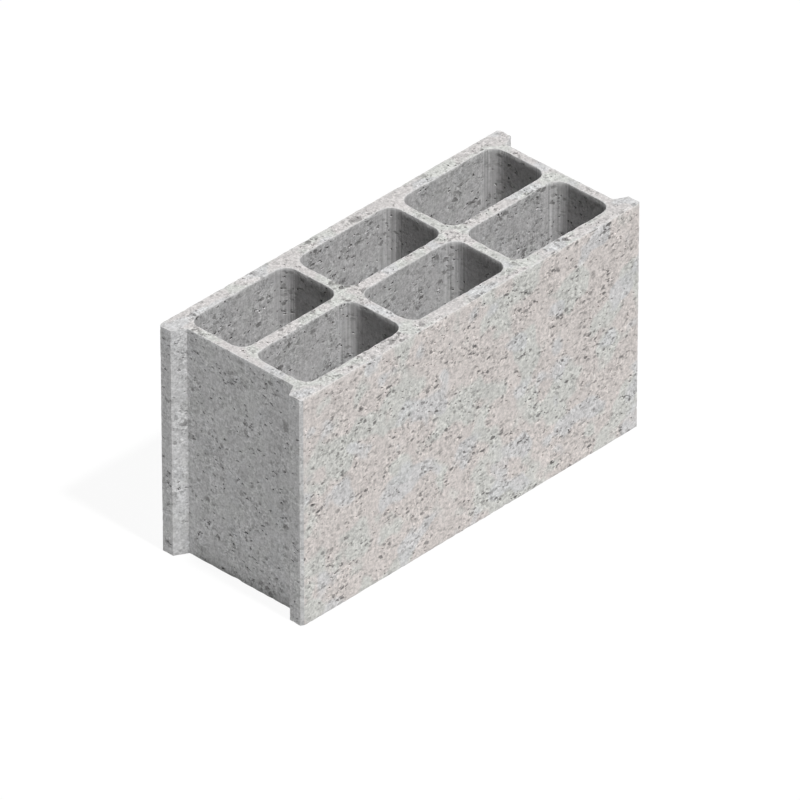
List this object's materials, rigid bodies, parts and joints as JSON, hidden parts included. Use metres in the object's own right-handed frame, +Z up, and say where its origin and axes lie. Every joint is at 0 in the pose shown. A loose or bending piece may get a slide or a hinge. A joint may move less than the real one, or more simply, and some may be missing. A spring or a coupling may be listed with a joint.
{
  "type": "hollow concrete block",
  "caption": "Hollow cast concrete building block with open rounded cells in two rows and a shallow mortar recess between ears at each end.",
  "frame": {"origin": "centre of the bottom bed face", "axes": "+X along the block's length, as it lies along a wall, +Y through the wall's thickness from the front face shell to the back one, +Z up through the cells"},
  "size_m": [0.5, 0.2, 0.275],
  "materials": {
    "concrete": "rough cast, open grained, with small dark pits"
  },
  "bodies": {
    "root": {"block": "concrete"}
  },
  "joints": []
}
